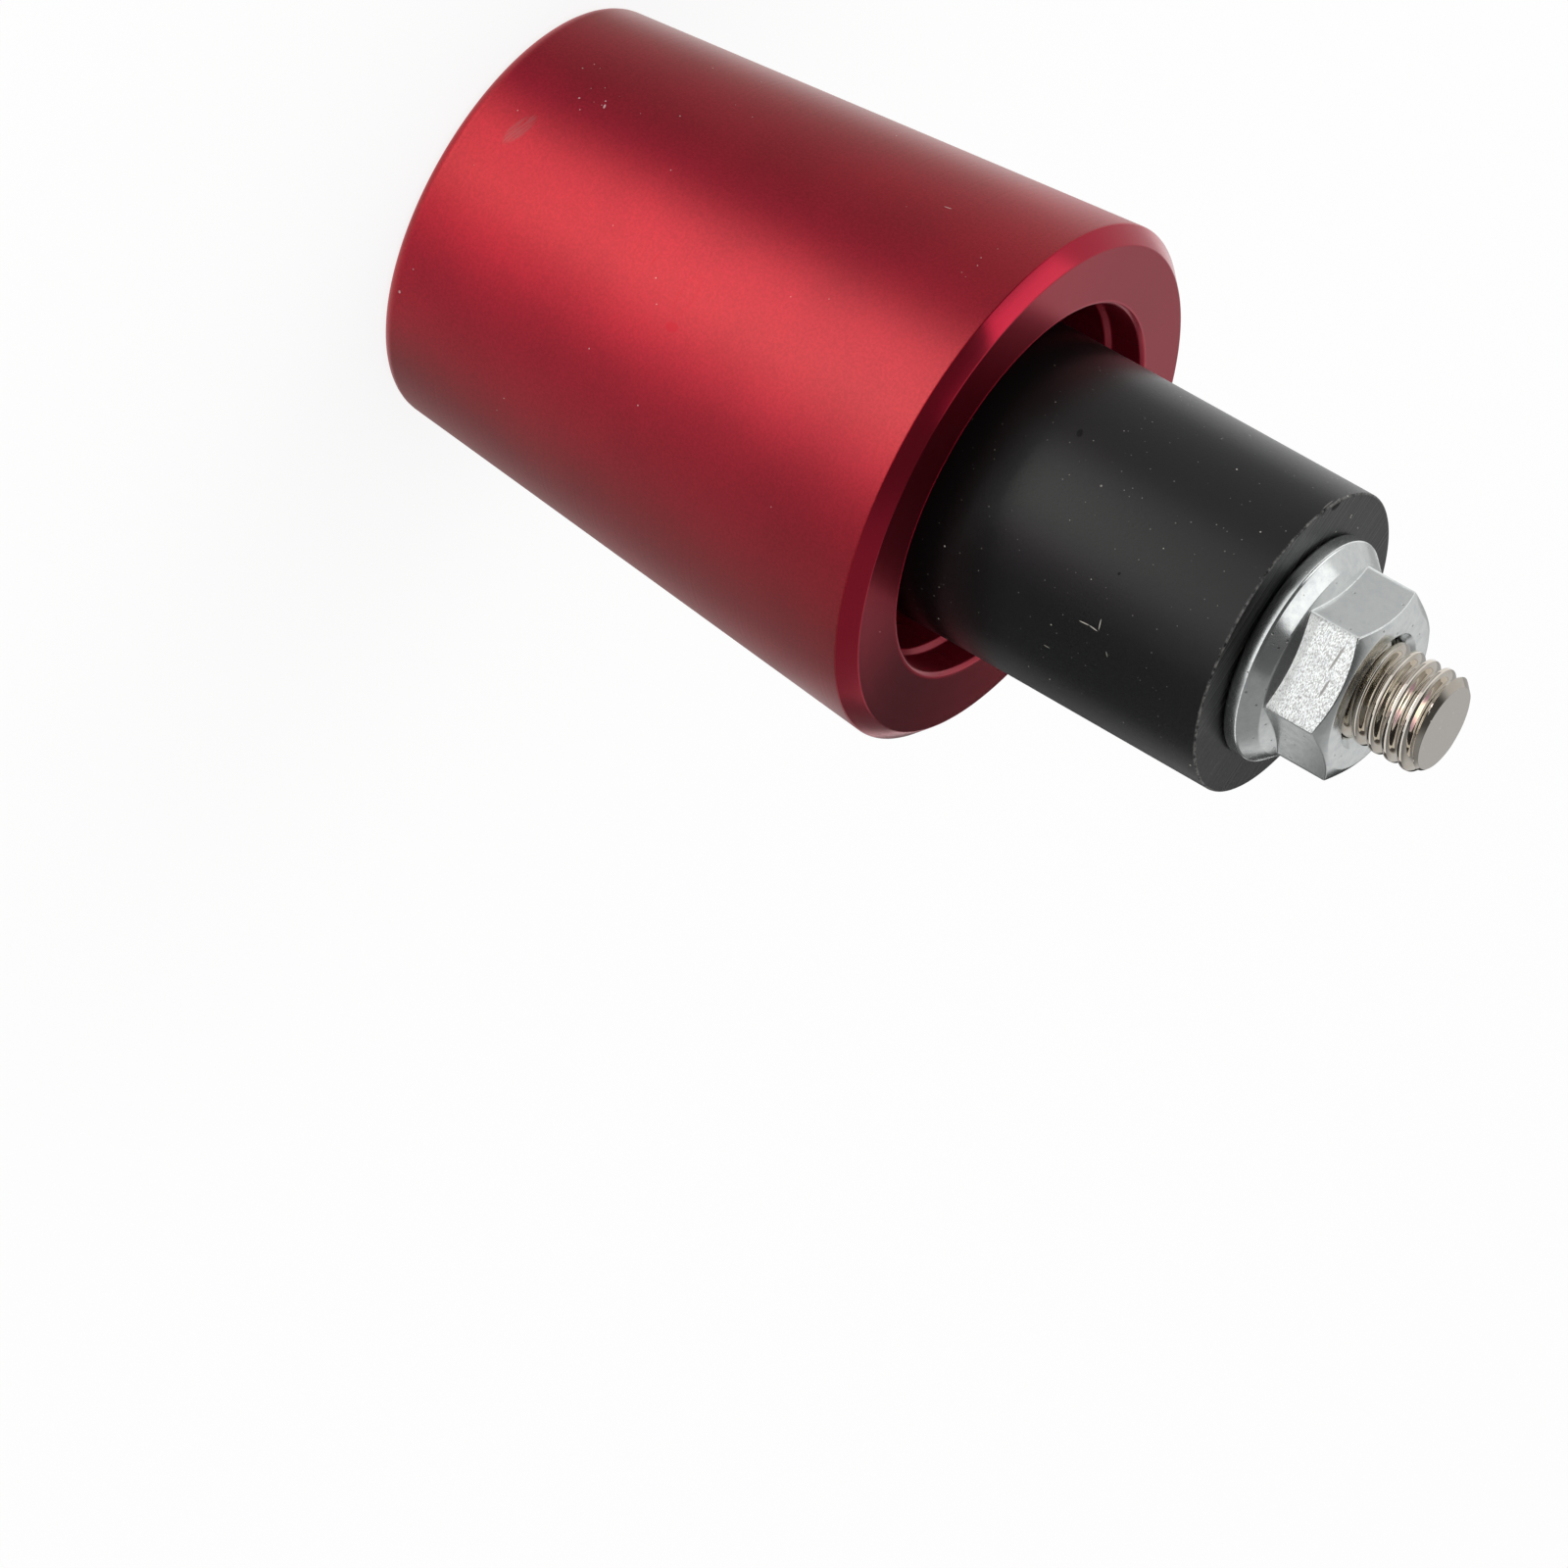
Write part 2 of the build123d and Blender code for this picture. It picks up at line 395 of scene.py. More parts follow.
class ScrewSettings(bpy.types.PropertyGroup):
    """Sizes and finish of the socket head screw."""

    sides: IntProperty(name="Sides", description="Faces round the screw", default=160, min=24)
    shank_radius: length("Shank radius", "Outside of the thread", 3.0 * MM)
    root_radius: length("Root radius", "Bottom of the thread", 2.42 * MM)
    pitch: length("Pitch", "Rise of the thread in one turn", 1.0 * MM)
    crest_share: share("Crest share", "Share of the pitch that the thread's crest takes", 0.18)
    root_share: share("Root share", "Share of the pitch that the thread's root takes", 0.02)
    thread_points: IntProperty(name="Points", description="Faces across one thread", default=16, min=6)
    thread_length: length("Thread length", "Length of the thread from the tip", 24.3 * MM)
    tip: length("Tip", "Height of the tip", SCREW_HIGH.z)
    tip_chamfer: length("Tip chamfer", "Chamfer at the tip", 0.5 * MM)
    head_radius: length("Head radius", "Outside of the head", SCREW_HIGH.x)
    head_top: length("Head face", "Height of the head's face, inside the recess", SCREW_LOW.z)
    head_seat: length("Head seat", "Height that the head bears on", 8.6 * MM)
    head_round: length("Head round", "Round on the head's edge", 0.6 * MM)
    socket_width: length("Socket width", "Hexagon socket, across its flats", 5.0 * MM)
    socket_depth: length("Socket depth", "Depth of the socket's flats", 3.0 * MM)
    socket_lead: length("Socket lead", "Countersink at the socket's mouth", 0.2 * MM)
    drill_slope: angle("Drill slope", "Slope of the drill's cone at the socket's floor", 30)
    nickel: colour("Nickel", "Colour of the plating", (0.70, 0.655, 0.59))
    nickel_warm: colour("Warm nickel", "Colour of its warmer clouds", (0.61, 0.55, 0.47))
    sheared: colour("Sheared", "Colour of the sheared tip", (0.60, 0.565, 0.525))
    roughness: share("Roughness", "Roughness of the plating", 0.06)


class NutSettings(bpy.types.PropertyGroup):
    """Sizes and finish of the flange nut."""

    columns: IntProperty(name="Columns", description="Faces along one flat", default=24, min=4)
    base: length("Base", "Height of the face on the sleeve", NUT_LOW.z)
    top: length("Top", "Height of the top face", NUT_HIGH.z)
    flange_radius: length("Flange radius", "Outside of the flange", NUT_HIGH.x)
    width: length("Width", "Hexagon, across its flats", 10.0 * MM)
    foot_chamfer: length("Foot chamfer", "Chamfer under the flange's edge", 0.2 * MM)
    flange_rim: length("Flange rim", "Height of the flange's edge, before it is rounded", 1.0 * MM)
    flange_round: length("Flange round", "Round on the flange's edge", 0.12 * MM)
    shoulder_ledge: length("Ledge", "From the hexagon's corners to the flange's upper ring", 0.15 * MM)
    shoulder: length("Shoulder", "Height of the flange's upper ring", 1.88 * MM)
    shoulder_slope: angle("Shoulder slope", "Slope between the flange's upper ring and the flats", 22)
    crown_inset: length("Crown inset", "From the flats to the ring on the top face", 0.25 * MM)
    crown_slope: angle("Crown slope", "Slope of the crown's chamfer", 30)
    bore_radius: length("Bore radius", "Threaded hole", 3.05 * MM)
    countersink: length("Countersink", "Chamfer of the hole at both ends", 0.5 * MM)
    edge_break: length("Edge break", "Small round on every edge", 0.07 * MM)
    zinc: colour("Zinc", "Colour of the plating", (0.87, 0.905, 0.885))
    zinc_dull: colour("Dull zinc", "Colour of its duller clouds", (0.765, 0.79, 0.80))
    pit: colour("Pit", "Colour in its pits", (0.30, 0.29, 0.28))
    roughness: share("Roughness", "Roughness of the plating", 0.2)
    scale_size: length("Scale", "Size of the rolled scale on the rough flat", 0.066 * MM)
    scale_height: length("Scale height", "Height of the rolled scale", 9 * MICRON)


class StageSettings(bpy.types.PropertyGroup):
    """Floor, light and camera."""

    floor_size: length("Floor size", "Side of the square floor", 6.0)
    paper: colour("Paper", "Colour of the floor and background", (0.9, 0.9, 0.9))
    azimuth: angle("Azimuth", "Camera's direction round the weight", -12.9)
    elevation: angle("Elevation", "Camera's height above the horizon", 22.42)
    roll: angle("Roll", "Camera's turn about its own line of sight", 120.38)
    distance: length("Distance", "From the camera to the weight's middle", 510.27 * MM)
    aim_right: offset("Aim right", "Middle of the picture, right of the weight's middle", -10.39 * MM)
    aim_up: offset("Aim up", "Middle of the picture, above the weight's middle", -17.83 * MM)
    lens: FloatProperty(name="Lens", description="Focal length in millimetres", default=211.53, min=1)
    kept_shadow: share("Kept shadow", "Share of the floor's shadow that the picture keeps", 0.15)
    sky: share("Sky", "Level of the light from all round", 0.95)
    room_radius: length("Room radius", "From the weight to the grey walls that the metal shows", 1.2)
    back_wall: angle("Back wall", "Direction of the paler wall", -163)
    wall_level: share("Wall level", "Level of the grey walls", 0.08)
    side_level: share("Side level", "Level of the wall on the camera's right", 0.26)
    back_level: share("Back level", "Level of the paler wall", 0.62)


class BarWeightSettings(bpy.types.PropertyGroup):
    """All settings of the bar end weight."""

    weight: PointerProperty(type=WeightSettings)
    sleeve: PointerProperty(type=SleeveSettings)
    screw: PointerProperty(type=ScrewSettings)
    nut: PointerProperty(type=NutSettings)
    stage: PointerProperty(type=StageSettings)


# Modelling


def edit_mode(on):
    bpy.ops.object.mode_set(mode="EDIT" if on else "OBJECT")


def chosen():
    """The object that is being modelled."""
    return bpy.context.view_layer.objects.active


def choose(obj):
    """Makes one object the only selected one."""
    bpy.ops.object.select_all(action="DESELECT")
    obj.select_set(True)
    bpy.context.view_layer.objects.active = obj


def add(primitive, name, **settings):
    """A new primitive, as the only selected object."""
    bpy.ops.object.select_all(action="DESELECT")
    primitive(**settings)
    obj = chosen()
    obj.name = name
    obj.data.name = name
    return obj


def select_all():
    bpy.ops.mesh.select_all(action="SELECT")


def select_edges(test):
    """In edit mode, selects only the edges that pass a test."""
    bpy.ops.mesh.select_mode(type="EDGE")
    bpy.ops.mesh.select_all(action="DESELECT")
    mesh = bmesh.from_edit_mesh(chosen().data)
    for edge in mesh.edges:
        if test(edge):
            edge.select_set(True)
    bmesh.update_edit_mesh(chosen().data)


def on_ring(point, radius, height):
    """Whether a point lies on the ring of that radius at that height."""
    off = math.hypot(point.x, point.y) - radius
    return abs(off) < RING_NEAR and abs(point.z - height) < RING_NEAR


def start_ring(name, sides, radius, height):
    """A new object that is one ring of edges round Z, left in edit mode with the ring selected."""
    obj = add(
        bpy.ops.mesh.primitive_circle_add, name, vertices=sides, radius=radius, fill_type="NOTHING",
        location=(0, 0, height),
    )
    bpy.ops.object.transform_apply(location=True, rotation=True, scale=True)
    edit_mode(True)
    bpy.ops.mesh.select_mode(type="EDGE")
    select_all()
    return obj


def draw_out(section):
    """Extrudes the selected ring through the (radius, height) corners of a half section."""
    for (radius, height), (next_radius, next_height) in zip(section, section[1:]):
        bpy.ops.mesh.extrude_region_move(TRANSFORM_OT_translate={"value": (0, 0, next_height - height)})
        growth = next_radius / radius
        bpy.ops.transform.resize(value=(growth, growth, 1), center_override=(0, 0, next_height))


def close_section():
    """Joins the last ring to the first."""
    bpy.ops.mesh.select_mode(type="EDGE")
    bpy.ops.mesh.select_all(action="DESELECT")
    bpy.ops.mesh.select_non_manifold(extend=False)
    bpy.ops.mesh.bridge_edge_loops()


def bevel(size, segments, clamp):
    """Rounds the selected edges."""
    bpy.ops.mesh.bevel(
        offset_type="OFFSET", offset=size, segments=segments, affect="EDGES", clamp_overlap=clamp,
    )


def round_rings(rings, size, segments):
    """Bevels the ring edges at the (radius, height) places given."""

    def on_a_ring(edge):
        return any(all(on_ring(vert.co, *ring) for vert in edge.verts) for ring in rings)

    select_edges(on_a_ring)
    bevel(size, segments, clamp=False)


def face_outward():
    """Turns every face's normal outward."""
    select_all()
    bpy.ops.mesh.normals_make_consistent(inside=False)


def turn(name, sides, section):
    """A ring-shaped solid turned about Z, from the (radius, height) corners of its closed half section."""
    obj = start_ring(name, sides, *section[0])
    draw_out(section)
    close_section()
    face_outward()
    return obj


def apply_modifier(obj, kind, **settings):
    """Adds a modifier and applies it."""
    choose(obj)
    modifier = obj.modifiers.new(kind.title(), kind)
    for name, value in settings.items():
        setattr(modifier, name, value)
    bpy.ops.object.modifier_apply(modifier=modifier.name)


def finish_mesh(obj, crease):
    """Smooth shading, with flat faces kept flat and edges past the crease angle kept sharp."""
    edit_mode(False)
    choose(obj)
    bpy.ops.object.shade_smooth_by_angle(angle=crease)
    apply_modifier(obj, "WEIGHTED_NORMAL", keep_sharp=True, weight=100)


def place(obj, finish, body, slot, node):
    """Gives a finished piece its material and its place in the frame."""
    obj.data.materials.clear()
    obj.data.materials.append(finish.owner)
    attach(obj, body)
    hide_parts(node)


# Finishes


def maths_method(operation, reflected=False):
    """A method that adds one Math node, with its values in the other order if it is reflected."""

    def method(self, other):
        values = (other, self) if reflected else (self, other)
        return self.finish.maths(operation, *values)

    return method


class Signal:
    """A node's output. Sums on it add Math nodes to its material."""

    def __init__(self, finish, socket):
        self.finish = finish
        self.socket = socket

    __add__ = __radd__ = maths_method("ADD")
    __mul__ = __rmul__ = maths_method("MULTIPLY")
    __sub__ = maths_method("SUBTRACT")
    __rsub__ = maths_method("SUBTRACT", reflected=True)
    __truediv__ = maths_method("DIVIDE")
    __rtruediv__ = maths_method("DIVIDE", reflected=True)
    __pow__ = maths_method("POWER")
    __rpow__ = maths_method("POWER", reflected=True)
    most = maths_method("MAXIMUM")

    def beside(self, name):
        """Another output of the same node."""
        return Signal(self.finish, self.socket.node.outputs[name])

    def step(self, low, high, strength=1.0):
        """0 below low and a strength above high, with a smooth passage. Reversed where low is greater."""
        return self.finish.node(
            "ShaderNodeMapRange",
            {"interpolation_type": "SMOOTHSTEP", "clamp": True},
            {"Value": self, "From Min": low, "From Max": high, "To Max": strength},
        )

    def about(self, middle, spread):
        """A value that a pattern from 0 to 1 spreads about its middle."""
        return self * spread + (middle - spread / 2)


class Graph:
    """The nodes of a material or of the world."""

    def __init__(self, owner, output="ShaderNodeOutputMaterial"):
        owner.use_nodes = True
        self.owner = owner
        self.output = output
        self.nodes = owner.node_tree.nodes
        self.links = owner.node_tree.links
        self.nodes.clear()

    def node(self, kind, settings=None, sockets=None, out=0):
        """Adds a node, sets it, fills or links its sockets and gives one output."""
        node = self.nodes.new(kind)
        for name, value in (settings or {}).items():
            setattr(node, name, value)
        for name, value in (sockets or {}).items():
            if isinstance(value, Signal):
                self.links.new(value.socket, node.inputs[name])
            else:
                node.inputs[name].default_value = value
        return Signal(self, node.outputs[out]) if node.outputs else None

    def maths(self, operation, *values):
        return self.node("ShaderNodeMath", {"operation": operation}, dict(enumerate(values)))

    def mix(self, factor, first, second):
        """A colour between two colours."""
        sockets = {0: factor}
        for place, value in ((6, first), (7, second)):
            sockets[place] = value if isinstance(value, Signal) else (*value[:3], 1)
        return self.node("ShaderNodeMix", {"data_type": "RGBA"}, sockets, 2)

    def seen(self):
        """1 for the rays that make the picture, straight or by way of a shine, and 0 for other light."""
        camera = self.node("ShaderNodeLightPath", out="Is Camera Ray")
        return camera.most(camera.beside("Is Glossy Ray")).most(camera.beside("Is Transmission Ray"))

    def light(self, colour, strength=1.0):
        """Light of one colour, where strength 1 is the picture's white."""
        return self.node("ShaderNodeEmission", {}, {"Color": colour, "Strength": strength})

    def show(self, shader):
        """Makes a shader the one that is seen."""
        self.node(self.output, {}, {"Surface": shader})


class Finish(Graph):
    """A procedural material on Object coordinates."""

    def __init__(self, name):
        super().__init__(bpy.data.materials.new(name))
        self.place = self.node("ShaderNodeTexCoord", out="Object")
        self.x = self.node("ShaderNodeSeparateXYZ", {}, {0: self.place}, "X")
        self.y = self.x.beside("Y")
        self.z = self.x.beside("Z")
        self.radius = (self.x * self.x + self.y * self.y) ** 0.5

    def noise(self, size, detail=2.0, roughness=0.5, place=None):
        """Cloudy noise from 0 to 1, in clouds of that size."""
        sockets = {
            "Vector": place or self.place,
            "Scale": 1 / size,
            "Detail": detail,
            "Roughness": roughness,
        }
        return self.node("ShaderNodeTexNoise", {}, sockets)

    def drawn_out(self, place, scales):
        """A place with each axis scaled, to draw out a pattern."""
        return self.node("ShaderNodeVectorMath", {"operation": "MULTIPLY"}, {0: place, 1: scales})

    def lines(self, along, pitch, detail=2.0):
        """Noise from 0 to 1 that changes only along one measure, such as turning lines."""
        sockets = {"W": along / pitch, "Scale": 1.0, "Detail": detail}
        return self.node("ShaderNodeTexNoise", {"noise_dimensions": "1D"}, sockets)

    def specks(self, kind):
        """Small round specks, one in each cell that keeps it."""
        sockets = {"Vector": self.place, "Scale": 1 / (kind.spacing * MM), "Randomness": 1.0}
        near = self.node("ShaderNodeTexVoronoi", {}, sockets, "Distance")
        lot = self.node("ShaderNodeSeparateColor", {}, {0: near.beside("Color")}, "Red")
        reach = lot * (kind.size / kind.spacing)
        kept = lot.step(1 - kind.kept, 1 - kind.kept * SURELY_KEPT)
        outer, inner = SPECK_EDGE
        return near.step(reach * outer, reach * inner) * kept * kind.strength

    def around(self, centre, axes, sizes):
        """A place measured from a centre along turned axes, with 1 at half of each size."""
        sockets = {
            "Vector": self.place,
            "Location": centre,
            "Rotation": axes.to_euler(),
            "Scale": [size / 2 * MM for size in sizes],
        }
        return self.node("ShaderNodeMapping", {"vector_type": "TEXTURE"}, sockets)

    def on_mark(self, mark, radius):
        """A place measured from a mark on a turned surface. radius(height) is that of the surface."""
        at = math.radians(mark.angle)
        height = mark.height * MM
        out = Vector((math.cos(at), math.sin(at), 0))
        across = Vector((-out.y, out.x, 0))
        upright = Matrix((across, (0, 0, 1), out)).transposed()
        axes = upright @ Matrix.Rotation(math.radians(mark.turn), 3, "Z")
        centre = out * radius(height) + Vector((0, 0, height))
        return self.around(centre, axes, (mark.long, mark.wide, MARK_REACH))

    def inside(self, place):
        """1 less than one away from a centre and 0 further out, with a soft edge."""
        far = self.node("ShaderNodeVectorMath", {"operation": "LENGTH"}, {0: place}, "Value")
        return far.step(*MARK_EDGE)

    def marks(self, marks, radius):
        """1 on any of the marks and 0 off them."""
        return functools.reduce(Signal.most, (self.inside(self.on_mark(mark, radius)) for mark in marks))

    def bump(self, height, size):
        """Surface normal for a height from 0 to 1 that stands for size metres."""
        return self.node("ShaderNodeBump", {}, {"Strength": 1.0, "Distance": size, "Height": height})

    def surface(self, sockets):
        """The shader that everything feeds."""
        self.show(self.node("ShaderNodeBsdfPrincipled", {}, sockets))


def anodised_finish(settings):
    """Red dye in the sealed oxide of a turned surface, with fine turning lines, dust and a few marks."""
    finish = Finish("red_anodised")
    rim = settings.body_length - settings.rim_chamfer
    slope = (settings.rim_radius - settings.small_radius) / rim

    def on_taper(height):
        return settings.small_radius + height * slope

    lines = finish.lines(finish.z - finish.radius * LINE_LEAN, settings.line_pitch)
    grain = finish.noise(settings.grain)
    cloud = finish.noise(DYE_CLOUD, detail=3)
    rub = finish.on_mark(RUBBED, on_taper)
    streaks = finish.noise(1.0, detail=3, roughness=0.6, place=finish.drawn_out(rub, STREAK_DRAW))
    rubbed = finish.inside(rub) * streaks.step(*STREAK_FADE)
    tide = finish.marks([TIDE_RING], on_taper) - finish.marks([TIDE_INSIDE], on_taper)
    stained = finish.marks(STAINS, on_taper).most(tide * TIDE_STRENGTH)
    dust = finish.specks(WEIGHT_DUST).most(finish.marks(FLAKES, on_taper))
    dust = dust.most(finish.specks(PATCH_DUST) * finish.marks(DUSTY, on_taper)) * DUST_STRENGTH
    depth = cloud.step(*DYE_FADE) + grain.step(*GRAIN_FADE)
    formed = (finish.z - rim).step(*FORM_FADE)
    bored = (finish.radius - settings.register_radius).step(*BORE_FADE)
    smooth = formed.most(bored)
    dye = finish.mix(depth, settings.dye, settings.dye_deep)
    dye = finish.mix(stained, dye, settings.stain)
    dye = finish.mix(rubbed, dye, settings.worn)
    dye = finish.mix(smooth, dye, settings.form_dye)
    smoother = smooth * (settings.roughness - settings.form_roughness)
    relief = lines * (settings.line_height / settings.grain_height) + grain
    finish.surface({
        "Base Color": finish.mix(dust, dye, settings.dust),
        "Metallic": 1 - dust.most(bored * BORE_OXIDE).most(formed * FORM_OXIDE),
        "Roughness": lines.about(settings.roughness, LINE_SPREAD) - smoother,
        "Anisotropic": settings.brushing,
        "Anisotropic Rotation": QUARTER_TURN,
        "Coat Weight": settings.gloss,
        "Coat Roughness": settings.gloss_roughness,
        "Normal": finish.bump(relief, settings.grain_height),
    })
    return finish


def rubber_finish(settings):
    """Black moulded rubber, satin on its side and saw-cut on its ends, with dust, lint, and a worn outer
    rim whose lighter colour is partly a painted highlight.
    """
    finish = Finish("black_rubber")

    def on_side(height):
        return settings.radius

    grain = finish.noise(settings.grain, detail=3, roughness=0.6)
    inset = settings.radius - finish.radius
    cut = (inset / settings.edge_break).step(*CUT_FADE)
    across = finish.x * math.cos(settings.saw_turn) + finish.y * math.sin(settings.saw_turn)
    saw = finish.lines(across, settings.saw_pitch, detail=3)
    drop = settings.end - finish.z
    corner = (inset * inset + drop * drop) ** 0.5
    patchy = finish.noise(SCUFF_SIZE, detail=4, roughness=0.7).step(*SCUFF_FADE)
    # Lighter colour along the end's outer rim: partly wear, partly a painted highlight of the rounded edge
    scuffed_and_glint = (corner / settings.edge_break).step(*EDGE_FADE) * patchy
    # The nick's flap gets a painted highlight in the same lighter colour
    scuffed_and_glint = scuffed_and_glint.most(finish.marks(NICK_GLINT, on_side) * NICK_GLINT_STRENGTH)
    shaded = finish.marks(NICK_SHADE, on_side)
    torn = saw.step(*TEAR_FADE) * cut
    dust = finish.marks(LINT, on_side).most(finish.marks(FIBRES, on_side) * FIBRE_STRENGTH)
    dust = dust.most(finish.specks(ARC_DUST) * finish.marks(DUSTY_ARC, on_side))
    for kind in SLEEVE_DUST:
        dust = dust.most(finish.specks(kind))
    fleck = (FLECK_SIZE, FLECK_SIZE, MARK_REACH)
    for x, y in FACE_FLECKS:
        centre = Vector((x * MM, y * MM, settings.end))
        dust = dust.most(finish.inside(finish.around(centre, Matrix.Identity(3), fleck)))
    rubber = finish.mix(scuffed_and_glint.most(torn), settings.rubber, settings.scuffed_and_glint)
    sawn = saw * cut * (settings.saw_height / settings.grain_height)
    relief = grain * (1 - cut) + sawn - shaded * NICK_DEPTH
    finish.surface({
        "Base Color": finish.mix(dust, rubber, settings.dust),
        "Roughness": grain.about(settings.roughness, RUBBER_SPREAD) + shaded * NICK_ROUGHNESS,
        "Specular IOR Level": settings.shine,
        "Normal": finish.bump(relief, settings.grain_height),
    })
    return finish


def nickel_finish(settings):
    """Bright, slightly warm nickel plating, matt on the sheared tip."""
    finish = Finish("nickel_plate")
    cloud = finish.noise(NICKEL_CLOUD, detail=3)
    sheared = (finish.z - settings.tip).step(*TIP_FADE)
    pits = finish.specks(TIP_PITS) * sheared
    nickel = finish.mix(cloud.step(*PLATE_FADE), settings.nickel, settings.nickel_warm)
    finish.surface({
        "Base Color": finish.mix(sheared, nickel, settings.sheared),
        "Metallic": 1 - pits,
        "Roughness": cloud.about(settings.roughness, NICKEL_SPREAD) + sheared * TIP_ROUGHNESS,
        "Normal": finish.bump(cloud, NICKEL_RIPPLE),
    })
    return finish


def zinc_finish(settings):
    """Bright zinc plating with small pits, and with rolled scale left on one flat."""
    finish = Finish("zinc_plate")
    half = settings.width / 2
    cloud = finish.noise(ZINC_CLOUD, detail=4, roughness=0.6)
    pits = finish.specks(NUT_PITS)
    rough_flat = (finish.y + half).step(*FLAT_FADE)
    rough_flat = rough_flat * (finish.radius - half / math.cos(HEX_TURN / 2)).step(*CORNER_FADE)
    drawn_out = finish.drawn_out(finish.place, SCALE_DRAW)
    scale = finish.noise(settings.scale_size, detail=3, roughness=0.7, place=drawn_out) * rough_flat
    # The rough flat is darker along its foot, where it meets the flange
    foot = (finish.z - settings.base).step(*FOOT_FADE) * rough_flat
    dark = scale.step(*SCALE_FADE).most(foot).most(pits)
    for crack in CRACKS:
        centre = Vector((crack.x * MM, -half, settings.top - crack.drop * MM))
        axes = Matrix.Rotation(math.radians(crack.turn), 3, "Y")
        place = finish.around(centre, axes, (crack.long, MARK_REACH, CRACK_WIDTH))
        dark = dark.most(finish.inside(place) * CRACK_STRENGTH)
    zinc = finish.mix(cloud.step(*PLATE_FADE), settings.zinc, settings.zinc_dull)
    relief = scale + cloud * ZINC_RIPPLE - pits
    finish.surface({
        "Base Color": finish.mix(dark, zinc, settings.pit),
        "Metallic": 1.0,
        "Roughness": cloud.about(settings.roughness, ZINC_SPREAD),
        "Normal": finish.bump(relief, settings.scale_height),
    })
    return finish


# Pieces


class BARWEIGHT_OT_turned_weight(bpy.types.Operator):
    """Turn the tapered weight, with the handlebar's bore above and the screw head's recess below"""

    bl_idname = "bar_weight.turned_weight"
    bl_label = "Turned weight"

    def execute(self, context):
        size = context.scene.bar_weight.weight
        top = size.body_length
        seat = context.scene.bar_weight.sleeve.seat
        step = size.register_radius - size.bore_radius
        mouth = size.register_radius + size.mouth_chamfer
        face = size.rim_radius - size.rim_chamfer
        lead = size.recess_radius + size.recess_chamfer
        foot = (size.small_radius, 0)
        corner = (size.bore_radius, seat)
        edges = [
            (size.rim_radius, top - size.rim_chamfer),
            (face, top),
            (mouth, top),
            (size.register_radius, top - size.mouth_chamfer),
            (size.register_radius, top - size.register_depth + step),
            (size.bore_radius, top - size.register_depth),
        ]
        section = [
            (lead, 0),
            foot,
            *edges,
            corner,
            (size.hole_radius, seat),
            (size.hole_radius, size.head_seat),
            (size.recess_radius, size.head_seat),
            (size.recess_radius, size.recess_chamfer),
        ]
        obj = turn("turned_weight", size.sides, section)
        taper = math.atan2(size.rim_radius - size.small_radius, top - size.rim_chamfer)
        setback = size.outer_round * math.tan((math.pi / 2 - taper) / 2)
        round_rings([foot], setback, segments=8)
        round_rings([corner], size.seat_round, segments=4)
        round_rings(edges, size.edge_break, segments=3)
        finish_mesh(obj, CREASE)
        place(obj, anodised_finish(size), "weight", "red_anodised", "end_weight")
        return {"FINISHED"}


class BARWEIGHT_OT_rubber_sleeve(bpy.types.Operator):
    """Mould the rubber sleeve that the nut squeezes"""

    bl_idname = "bar_weight.rubber_sleeve"
    bl_label = "Rubber sleeve"

    def execute(self, context):
        size = context.scene.bar_weight.sleeve
        corners = [
            (size.radius, size.seat),
            (size.radius, size.end),
            (size.hole_radius, size.end),
            (size.hole_radius, size.seat),
        ]
        obj = turn("rubber_sleeve", size.sides, corners)
        round_rings(corners[:2], size.edge_break, segments=3)
        finish_mesh(obj, CREASE)
        place(obj, rubber_finish(size), "weight", "black_rubber", "expander_sleeve")
        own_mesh(obj)
        return {"FINISHED"}


